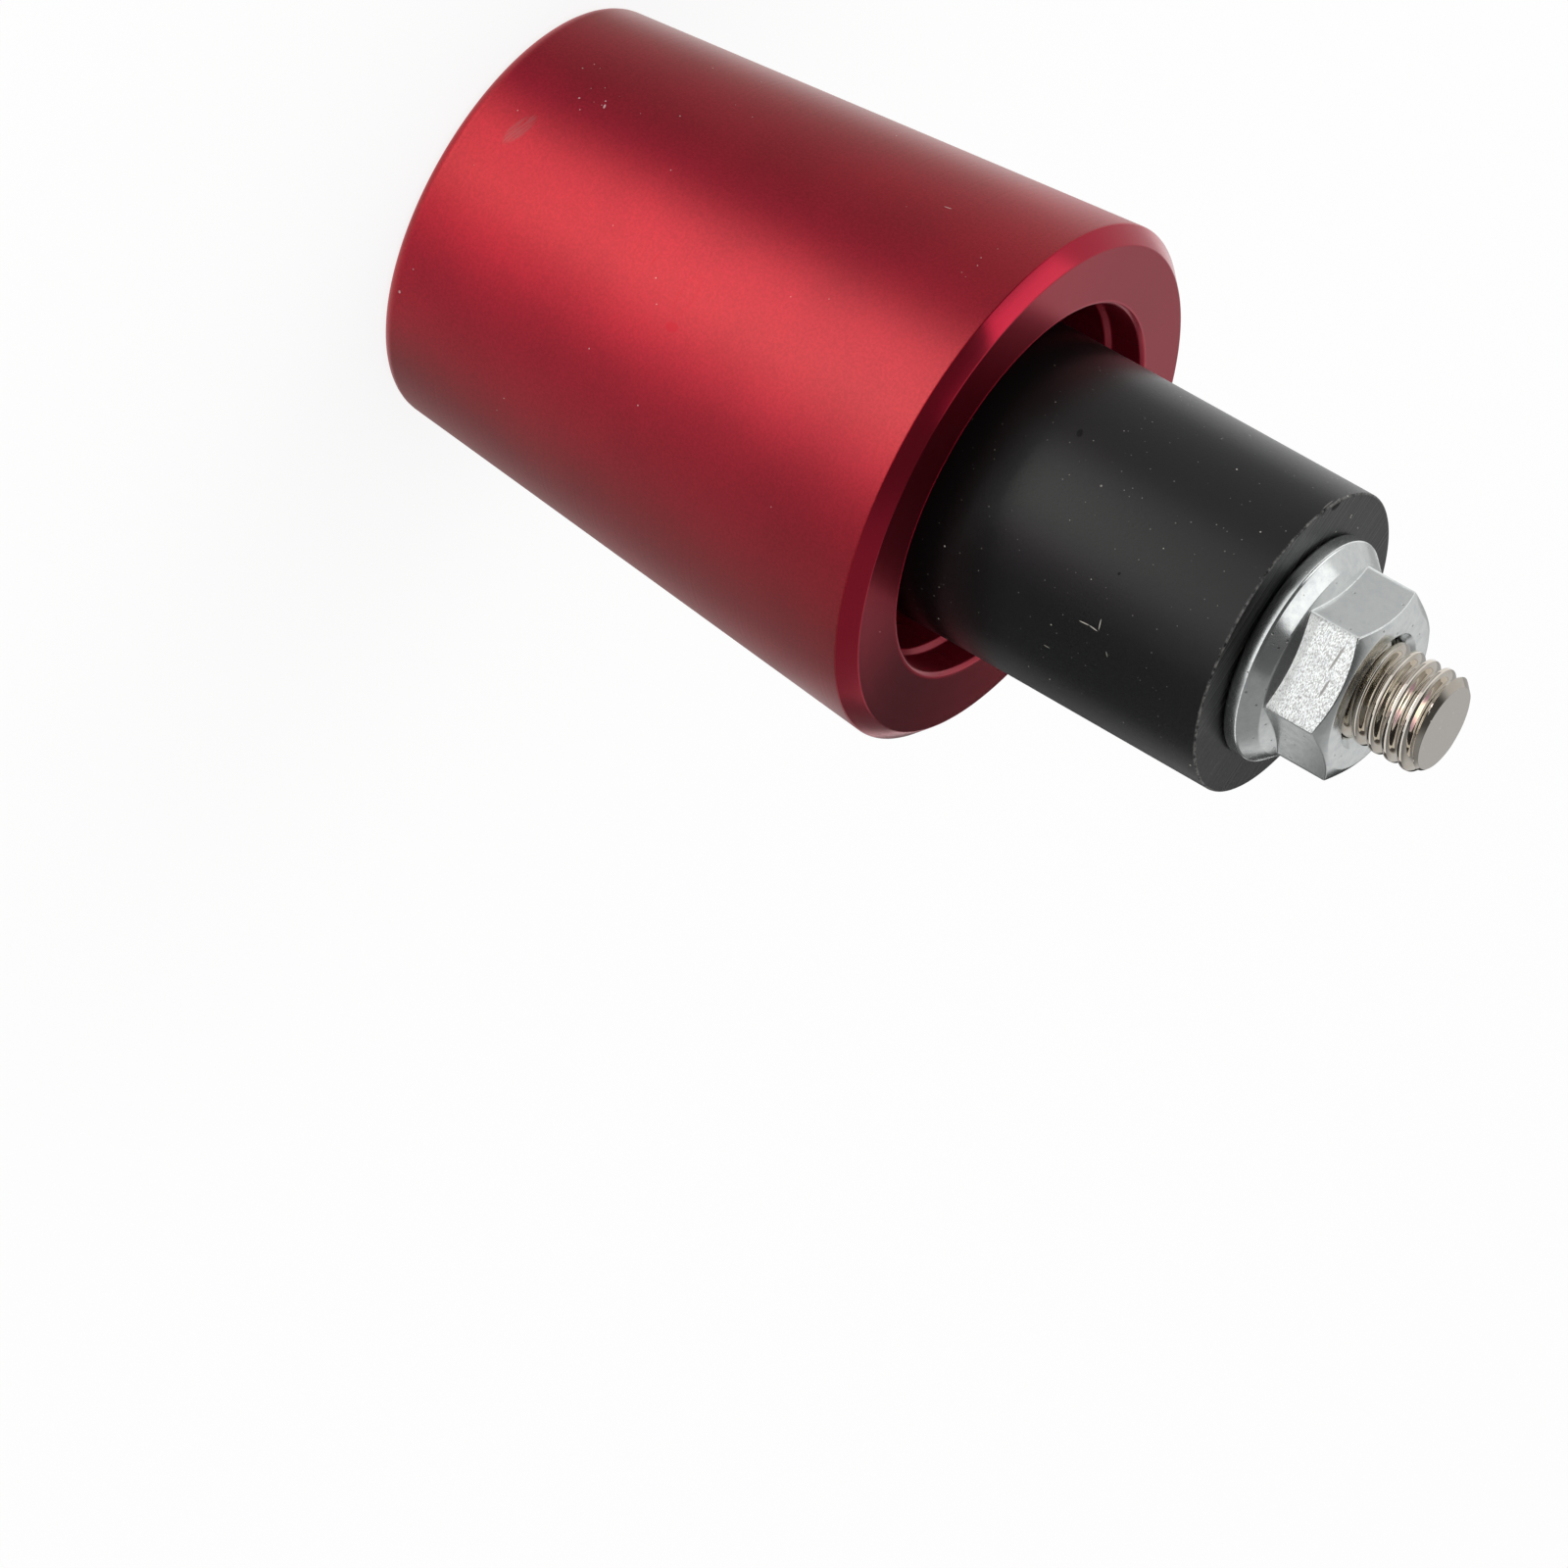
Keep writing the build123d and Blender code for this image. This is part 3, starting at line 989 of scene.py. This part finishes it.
class BARWEIGHT_OT_clamp_screw(bpy.types.Operator):
    """Model the socket head screw and cut its thread"""

    bl_idname = "bar_weight.clamp_screw"
    bl_label = "Clamp screw"

    def execute(self, context):
        size = context.scene.bar_weight.screw
        obj = self.thread(size)
        self.shank_and_head(obj, size)
        self.socket(obj, size)
        finish_mesh(obj, CREASE)
        place(obj, nickel_finish(size), "screw", "nickel_plate", "clamp_screw")
        return {"FINISHED"}

    def thread(self, size):
        """The threaded end: one turn's profile, carried up round Z and cut off at the tip."""
        start = size.tip - size.thread_length
        turns = math.ceil(size.thread_length / size.pitch) + SPARE_TURNS
        depth = size.shank_radius - size.root_radius
        profile = []
        for i in range(size.thread_points + 1):
            share_up = i / size.thread_points
            ramp = (abs(share_up * 2 - 1) - size.crest_share) / (1 - size.crest_share - size.root_share)
            ramp = min(max(ramp, 0), 1)
            rounded = ramp * ramp * (3 - 2 * ramp)
            profile.append((size.shank_radius - depth * rounded, size.pitch * share_up))
        obj = start_ring("clamp_screw_visual", len(profile), size.shank_radius, 0)
        mesh = bmesh.from_edit_mesh(obj.data)
        mesh.verts.ensure_lookup_table()
        for vert, (radius, height) in zip(mesh.verts, profile):
            vert.co = (radius, 0, start - size.pitch + height)
        ends = {mesh.verts[0], mesh.verts[len(profile) - 1]}
        for edge in mesh.edges:
            edge.select_set(set(edge.verts) == ends)
        bmesh.update_edit_mesh(obj.data)
        bpy.ops.mesh.delete(type="EDGE_FACE")
        edit_mode(False)
        apply_modifier(
            obj, "SCREW", axis="Z", angle=math.tau, screw_offset=size.pitch, iterations=turns,
            steps=size.sides, render_steps=size.sides, use_merge_vertices=True, merge_threshold=MERGE / 2,
        )
        edit_mode(True)
        mesh = bmesh.from_edit_mesh(obj.data)
        for vert in mesh.verts:
            radius = math.hypot(vert.co.x, vert.co.y)
            chamfer = size.shank_radius - size.tip_chamfer + size.tip - vert.co.z
            limit = max(chamfer, size.root_radius * DEEPEST_CUT)
            if radius > limit:
                vert.co.x *= limit / radius
                vert.co.y *= limit / radius
        bmesh.update_edit_mesh(obj.data)
        select_all()
        bpy.ops.mesh.remove_doubles(threshold=MERGE)
        level = {"plane_no": (0, 0, 1), "threshold": NEAR}
        select_all()
        bpy.ops.mesh.bisect(plane_co=(0, 0, size.tip), use_fill=True, clear_outer=True, **level)
        select_all()
        bpy.ops.mesh.bisect(plane_co=(0, 0, start), clear_inner=True, **level)
        return obj

    def shank_and_head(self, obj, size):
        """The plain shank and the head, drawn down from the thread's lower end."""
        start = size.tip - size.thread_length
        edit_mode(False)
        rim = (size.head_radius, size.head_top)
        section = [
            (size.shank_radius, start - size.pitch / 2),
            (size.shank_radius, size.head_seat),
            (size.head_radius, size.head_seat),
            rim,
        ]
        head = start_ring("screw_head", size.sides, *section[0])
        draw_out(section)
        bpy.ops.mesh.edge_face_add()
        round_rings([rim], size.head_round, segments=6)
        edit_mode(False)
        choose(obj)
        head.select_set(True)
        bpy.ops.object.join()
        edit_mode(True)
        close_section()
        face_outward()
        edit_mode(False)

    def socket(self, obj, size):
        """The hexagon socket, with a lead at its mouth and the drill's cone at its floor."""
        half = size.socket_width / 2
        corner = half / math.cos(HEX_TURN / 2)
        mouth = size.head_top
        lead = size.socket_lead
        floor = mouth + size.socket_depth
        point = half * math.tan(size.drill_slope)
        cuts = (
            (HEX_SIDES, corner, corner, mouth - lead, floor),
            (size.sides, half, 0, floor - NEAR, floor + point),
            (size.sides, corner + lead, corner - lead, mouth, mouth + lead * 2),
        )
        for sides, low_radius, high_radius, low, high in cuts:
            cutter = add(
                bpy.ops.mesh.primitive_cone_add, "cutter", vertices=sides, radius1=low_radius,
                radius2=high_radius, depth=high - low, location=(0, 0, (low + high) / 2),
            )
            apply_modifier(obj, "BOOLEAN", operation="DIFFERENCE", solver="EXACT", object=cutter)
            bpy.data.objects.remove(cutter)


class BARWEIGHT_OT_flange_nut(bpy.types.Operator):
    """Model the flange nut that draws the sleeve together"""

    bl_idname = "bar_weight.flange_nut"
    bl_label = "Flange nut"

    def execute(self, context):
        size = context.scene.bar_weight.nut
        obj = self.hexagon_on_flange(size)
        finish_mesh(obj, CREASE)
        place(obj, zinc_finish(size), "nut", "zinc_plate", "flange_nut")
        return {"FINISHED"}

    def hexagon_on_flange(self, size):
        """Rings drawn up from the flange, those on the hexagon pressed to its flats."""
        half = size.width / 2
        corner = half / math.cos(HEX_TURN / 2)
        ring = corner + size.shoulder_ledge
        rise = math.tan(size.shoulder_slope)
        drop = math.tan(size.crown_slope)
        crown = half - size.crown_inset
        mouth = size.bore_radius + size.countersink

        def on_flange(radius):
            return size.base + size.shoulder + (ring - radius) * rise

        def on_crown(radius):
            return size.top - (radius - crown) * drop

        rim = (size.flange_radius, size.base + size.flange_rim)
        fold = (half, on_flange(half))
        edge = (half, on_crown(half))
        rings = [
            (mouth, size.base),
            (size.flange_radius - size.foot_chamfer, size.base),
            (size.flange_radius, size.base + size.foot_chamfer),
            rim,
            (ring, on_flange(ring)),
            fold,
            edge,
            (crown, size.top),
            (mouth, size.top),
            (size.bore_radius, size.top - size.countersink),
            (size.bore_radius, size.base + size.countersink),
        ]
        obj = turn("flange_nut_visual", HEX_SIDES * size.columns, rings)
        mesh = bmesh.from_edit_mesh(obj.data)
        for vert in mesh.verts:
            at = math.atan2(vert.co.y, vert.co.x)
            off_flat = (at % HEX_TURN) - HEX_TURN / 2
            radius = half / math.cos(off_flat)
            for line, height in ((fold, on_flange(radius)), (edge, on_crown(radius))):
                if on_ring(vert.co, *line):
                    vert.co = (radius * math.cos(at), radius * math.sin(at), height)
                    break
        bmesh.update_edit_mesh(obj.data)
        self.round_edges(size)
        round_rings([rim], size.flange_round, segments=6)
        return obj

    def round_edges(self, size):
        """Small rounds on every edge that shows, apart from the flange's."""
        low = size.base + size.foot_chamfer * 2
        high = size.base + (size.flange_rim + size.shoulder) / 2

        def shows(edge):
            on_rim = all(low < vert.co.z < high for vert in edge.verts)
            return edge.calc_face_angle() > SHOWN_FOLD and not on_rim

        select_edges(shows)
        bevel(size.edge_break, segments=3, clamp=True)


# Stage


class BARWEIGHT_OT_stage(bpy.types.Operator):
    """Lay the floor, hang the lamps and set the camera"""

    bl_idname = "bar_weight.stage"
    bl_label = "Stage"

    def execute(self, context):
        scene = context.scene
        size = scene.bar_weight.stage
        self.middle = (CAD_BOX[0] + CAD_BOX[1]) / 2
        self.lift = CARD_LIFT
        scene.view_settings.view_transform = "Standard"
        self.floor(size)
        self.world(scene, size)
        self.room(size)
        self.side_card(size)
        for card in FLOOR_CARDS:
            self.floor_card(card)
        for card in HANGING_CARDS:
            self.hanging_card(card)
        for screen in SCREENS:
            self.screen(screen, size)
        for softbox in SOFTBOXES:
            self.lamp(softbox)
        self.camera(scene, size)
        return {"FINISHED"}

    def glossy_only(self, obj, graph):
        """Makes an object one that only reflections show."""
        obj.data.materials.append(graph.owner)
        obj.visible_camera = False
        obj.visible_diffuse = False
        obj.visible_shadow = False
        obj.visible_transmission = False
        obj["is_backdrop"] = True

    def room(self, size):
        """Grey studio walls, paler behind the weight."""
        room = add(
            bpy.ops.mesh.primitive_uv_sphere_add, "room", segments=48, ring_count=24,
            radius=size.room_radius, location=(0, 0, 0),
        )
        back = self.direction(size.back_wall, 0)
        paint = Finish("room_paint")
        behind = (paint.x * back.x + paint.y * back.y) / size.room_radius
        beside = (paint.x * back.y - paint.y * back.x) / size.room_radius
        walls = paint.mix(beside.step(*SIDE_WALL_FADE), [size.wall_level] * 3, [size.side_level] * 3)
        walls = paint.mix(behind.step(*BACK_WALL_FADE), walls, [size.back_level] * 3)
        paint.show(paint.light(walls))
        self.glossy_only(room, paint)

    def card(self, name, inner, start, stop, outward, shine):
        """A card on the floor, drawn outward from a ring between two azimuths. Each lies over the last.

        shine(azimuth, share outward) is the colour of its light.
        """
        self.lift += CARD_STEP
        obj = start_ring(name, CARD_SIDES, inner, self.lift)
        mesh = bmesh.from_edit_mesh(obj.data)
        for vert in list(mesh.verts):
            if not start <= self.azimuth(vert.co) <= stop:
                mesh.verts.remove(vert)
        glow = mesh.verts.layers.float_color.new(GLOW)
        for vert in mesh.verts:
            vert[glow] = shine(self.azimuth(vert.co), 0)
        bmesh.update_edit_mesh(obj.data)
        select_all()
        bpy.ops.mesh.extrude_region_move()
        mesh = bmesh.from_edit_mesh(obj.data)
        glow = mesh.verts.layers.float_color[GLOW]
        for vert in mesh.verts:
            if vert.select:
                azimuth = self.azimuth(vert.co)
                vert[glow] = shine(azimuth, 1)
                vert.co += outward(azimuth)
        bmesh.update_edit_mesh(obj.data)
        edit_mode(False)
        graph = Graph(bpy.data.materials.new(name))
        graph.show(graph.light(graph.node("ShaderNodeAttribute", {"attribute_name": GLOW}, {}, "Color")))
        self.glossy_only(obj, graph)

    def side_stop(self, at):
        """The graded card in one direction, mixed from the stops on either side."""
        for low, high in zip(SIDE_STOPS, SIDE_STOPS[1:]):
            if at <= high.at:
                break
        share_up = (at - low.at) / (high.at - low.at)
        return SideStop(*(first + (last - first) * share_up for first, last in zip(low, high)))

    def side_card(self, size):
        """The graded card, drawn out where the weight's side mirrors the camera's line of sight."""

        def stop_at(azimuth):
            return self.side_stop(math.degrees(azimuth - size.azimuth))

        def outward(azimuth):
            return self.direction(2 * azimuth - size.azimuth, 0) * stop_at(azimuth).reach * MM

        def shine(azimuth, share_out):
            stop = stop_at(azimuth)
            level = stop.foot + (stop.far - stop.foot) * share_out
            return level, level * stop.green, level * stop.blue, 1

        start = size.azimuth + math.radians(SIDE_STOPS[0].at)
        stop = size.azimuth + math.radians(SIDE_STOPS[-1].at)
        self.card("side_card", FOOT_RADIUS * MM, start, stop, outward, shine)

    def floor_card(self, card):
        """A card between two azimuths and two radii."""

        def outward(azimuth):
            return self.direction(azimuth, 0) * (card.outer - card.inner) * MM

        def shine(azimuth, share_out):
            return card.level, card.level, card.level, 1

        start = math.radians(card.start)
        stop = math.radians(card.stop)
        self.card(card.name, card.inner * MM, start, stop, outward, shine)

    def plane(self, name, level, sides, place, turned):
        """An evenly glowing plane. Its sides and its place are in millimetres."""
        obj = add(bpy.ops.mesh.primitive_plane_add, name, size=MM, location=(0, 0, 0))
        bpy.ops.transform.resize(value=(*sides, 1))
        obj.location = place * MM
        obj.rotation_euler = turned
        graph = Graph(bpy.data.materials.new(name))
        graph.show(graph.light(WHITE, level))
        self.glossy_only(obj, graph)

    def hanging_card(self, card):
        """A level card above the floor."""
        place = Vector((card.x, card.y, card.z))
        self.plane(card.name, card.level, (card.long, card.wide), place, (0, 0, math.radians(card.turn)))

    def screen(self, screen, size):
        """An upright screen that stands behind the weight, square to the camera."""
        sides = (screen.right - screen.left, screen.high - screen.low)
        behind = self.direction(size.azimuth + math.pi, 0)
        across = self.direction(size.azimuth + math.pi / 2, 0)
        place = behind * SCREEN_DISTANCE + across * ((screen.left + screen.right) / 2)
        place.z = (screen.low + screen.high) / 2
        self.plane(screen.name, screen.level, sides, place, (math.pi / 2, 0, size.azimuth))

    def azimuth(self, place):
        """Direction of a place round the weight. 0 is towards -Y."""
        return math.atan2(place.x, -place.y)

    def direction(self, azimuth, elevation):
        """From the weight's middle towards a place round it. Azimuth 0 is towards -Y."""
        flat = math.cos(elevation)
        return Vector((math.sin(azimuth) * flat, -math.cos(azimuth) * flat, math.sin(elevation)))

    def floor(self, size):
        floor = add(bpy.ops.mesh.primitive_plane_add, "floor", size=size.floor_size, location=(0, 0, 0))
        graph = Graph(bpy.data.materials.new("floor_paper"))
        paper = graph.node("ShaderNodeBsdfDiffuse", {}, {"Color": (*size.paper, 1)})
        shown = graph.seen() * (1 - size.kept_shadow)
        graph.show(graph.node("ShaderNodeMixShader", {}, {0: shown, 1: paper, 2: graph.light(WHITE)}))
        floor.data.materials.append(graph.owner)
        floor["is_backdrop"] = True

    def world(self, scene, size):
        graph = Graph(bpy.data.worlds.new("studio"), "ShaderNodeOutputWorld")
        sky = graph.mix(graph.seen(), [size.sky] * 3, WHITE)
        graph.show(graph.node("ShaderNodeBackground", {}, {"Color": sky, "Strength": 1.0}))
        scene.world = graph.owner

    def lamp(self, box):
        """A rectangular softbox aimed at the weight's middle."""
        light = bpy.data.lights.new(box.name, "AREA")
        light.shape = "RECTANGLE"
        light.size = box.width
        light.size_y = box.height
        light.energy = box.radiance * math.pi * box.width * box.height
        lamp = bpy.data.objects.new(box.name, light)
        bpy.context.scene.collection.objects.link(lamp)
        back = self.direction(math.radians(box.azimuth), math.radians(box.elevation))
        lamp.location = self.middle + back * box.distance
        lamp.rotation_mode = "QUATERNION"
        lamp.rotation_quaternion = (-back).to_track_quat("-Z", "Y")
        lamp.visible_glossy = False

    def camera(self, scene, size):
        camera = bpy.data.objects.new("camera", bpy.data.cameras.new("camera"))
        scene.collection.objects.link(camera)
        camera.data.lens = size.lens
        camera.data.sensor_width = SENSOR_WIDTH
        camera.data.clip_end = CLIP_END
        back = self.direction(size.azimuth, size.elevation)
        turned = (-back).to_track_quat("-Z", "Y") @ Quaternion((0, 0, 1), size.roll)
        aim = turned @ Vector((size.aim_right, size.aim_up, size.distance))
        camera.rotation_mode = "QUATERNION"
        camera.rotation_quaternion = turned
        camera.location = self.middle + aim
        scene.camera = camera


OPERATORS = (
    BARWEIGHT_OT_turned_weight,
    BARWEIGHT_OT_rubber_sleeve,
    BARWEIGHT_OT_clamp_screw,
    BARWEIGHT_OT_flange_nut,
    BARWEIGHT_OT_stage,
)


class BARWEIGHT_PT_sidebar(bpy.types.Panel):
    """Lists the pieces and the stage"""

    bl_label = "Bar end weight"
    bl_idname = "BARWEIGHT_PT_sidebar"
    bl_space_type = "VIEW_3D"
    bl_region_type = "UI"
    bl_category = "Bar weight"

    def draw(self, context):
        for operator in OPERATORS:
            self.layout.operator(operator.bl_idname)


CLASSES = (
    WeightSettings,
    SleeveSettings,
    ScrewSettings,
    NutSettings,
    StageSettings,
    BarWeightSettings,
    *OPERATORS,
    BARWEIGHT_PT_sidebar,
)


def register():
    for each in CLASSES:
        bpy.utils.register_class(each)
    bpy.types.Scene.bar_weight = PointerProperty(type=BarWeightSettings)


def unregister():
    del bpy.types.Scene.bar_weight
    for each in reversed(CLASSES):
        bpy.utils.unregister_class(each)


def main():
    register()
    bpy.ops.bar_weight.turned_weight()
    bpy.ops.bar_weight.rubber_sleeve()
    bpy.ops.bar_weight.clamp_screw()
    bpy.ops.bar_weight.flange_nut()
    bpy.ops.bar_weight.stage()
    boxes = {"cad": CAD_BOX, "visual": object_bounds()}
    {name: [list(corner) for corner in box] for name, box in boxes.items()}


if __name__ == "__main__":
    main()
